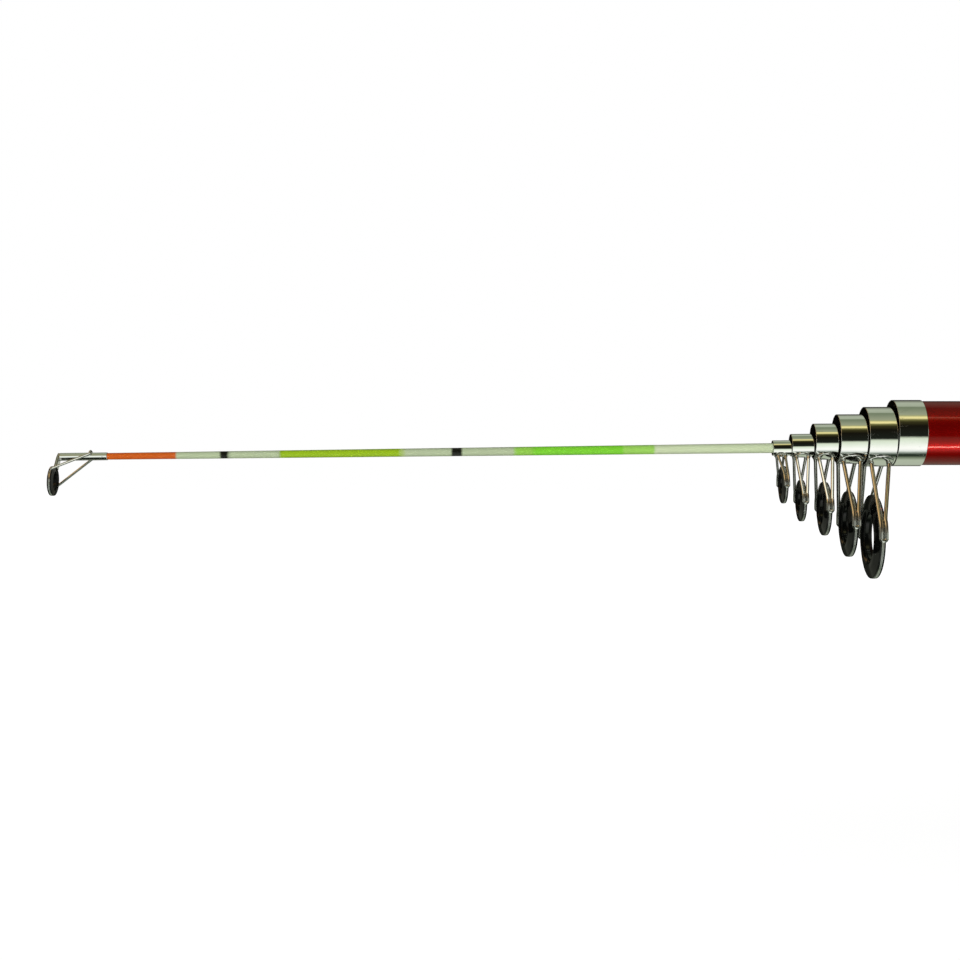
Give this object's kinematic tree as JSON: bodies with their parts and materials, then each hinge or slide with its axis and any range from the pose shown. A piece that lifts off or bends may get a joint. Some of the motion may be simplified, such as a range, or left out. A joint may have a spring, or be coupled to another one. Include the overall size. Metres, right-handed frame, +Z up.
{
  "type": "telescopic fishing rod",
  "caption": "Slim telescopic rod: nested tapered tubes with chromed collars and hanging ring guides, a banded glass tip, foam grips, a screw-lock reel seat and a screw-off butt cap.",
  "frame": {"origin": "on the rod's axis, at the middle of the rear grip", "axes": "+X along the butt toward its cap, so the tip lies toward -X; the guides hang toward -Z; +Z up"},
  "size_m": [0.5945, 0.0296, 0.0605],
  "materials": {
    "lacquer": "deep gloss",
    "tip_glass": "gloss",
    "chrome": "polished",
    "ceramic": "polished",
    "foam": "matt",
    "moulding": "satin",
    "alloy": "turned",
    "brass": "turned",
    "rubber": "matt",
    "felt": "matt"
  },
  "bodies": {
    "butt": {"butt_tube": "lacquer", "butt_collar": "chrome", "winding_check": "alloy", "fore_grip": "foam", "reel_seat_barrel": "moulding", "fixed_hood": "moulding", "rear_grip": "foam", "rear_ring": "alloy", "cap_socket": "brass"},
    "section_2": {"section_2_blank": "lacquer", "section_2_collar": "chrome", "section_2_saddle": "chrome", "section_2_legs": "chrome", "section_2_ring": "chrome", "section_2_insert": "ceramic"},
    "section_3": {"section_3_blank": "lacquer", "section_3_collar": "chrome", "section_3_saddle": "chrome", "section_3_legs": "chrome", "section_3_ring": "chrome", "section_3_insert": "ceramic"},
    "section_4": {"section_4_blank": "lacquer", "section_4_collar": "chrome", "section_4_saddle": "chrome", "section_4_legs": "chrome", "section_4_ring": "chrome", "section_4_insert": "ceramic"},
    "section_5": {"section_5_blank": "lacquer", "section_5_collar": "chrome", "section_5_saddle": "chrome", "section_5_legs": "chrome", "section_5_ring": "chrome", "section_5_insert": "ceramic"},
    "section_6": {"section_6_blank": "lacquer", "section_6_collar": "chrome", "section_6_saddle": "chrome", "section_6_legs": "chrome", "section_6_ring": "chrome", "section_6_insert": "ceramic"},
    "tip": {"tip_blank": "tip_glass", "tip_tube": "chrome", "tip_strut": "chrome", "tip_brace": "chrome", "tip_ring": "chrome", "tip_insert": "ceramic"},
    "hood": {"sliding_hood": "moulding"},
    "nut": {"lock_nut": "alloy"},
    "washer": {"cap_washer": "rubber"},
    "cap": {"butt_cap": "alloy", "butt_bumper": "rubber", "rattle_pad": "felt"}
  },
  "joints": [
    {"name": "section_2_slide", "type": "slide", "parent": "butt", "child": "section_2", "axis": [-1, 0, 0.0006], "range_m": [0, 0.24625]},
    {"name": "section_3_slide", "type": "slide", "parent": "section_2", "child": "section_3", "axis": [-1, 0, -0.0019], "range_m": [0, 0.23845]},
    {"name": "section_4_slide", "type": "slide", "parent": "section_3", "child": "section_4", "axis": [-1, 0, -0.0036], "range_m": [0, 0.2337]},
    {"name": "section_5_slide", "type": "slide", "parent": "section_4", "child": "section_5", "axis": [-1, 0, -0.0053], "range_m": [0, 0.228]},
    {"name": "section_6_slide", "type": "slide", "parent": "section_5", "child": "section_6", "axis": [-1, 0, -0.0089], "range_m": [0, 0.2233]},
    {"name": "tip_slide", "type": "slide", "parent": "section_6", "child": "tip", "axis": [-0.9999, 0, -0.0124], "range_m": [-0.2129, 0]},
    {"name": "hood_slide", "type": "slide", "parent": "butt", "child": "hood", "axis": [1, 0, 0], "range_m": [0, 0.018]},
    {"name": "nut_turn", "type": "hinge", "parent": "hood", "child": "nut", "pos_m": [-0.133, 0, 0], "axis": [1, 0, 0], "range_deg": [0, 2160]},
    {"name": "cap_travel", "type": "slide", "parent": "butt", "child": "washer", "axis": [1, 0, 0], "range_m": [0, 0.016]},
    {"name": "cap_turn", "type": "hinge", "parent": "washer", "child": "cap", "pos_m": [0.036, 0, 0], "axis": [1, 0, 0], "range_deg": [0, 2880]}
  ],
  "couplings": [
    {"joint": "nut_turn", "follows": "hood_slide", "rad_per_m": 2094.4},
    {"joint": "cap_turn", "follows": "cap_travel", "rad_per_m": 3141.6}
  ]
}
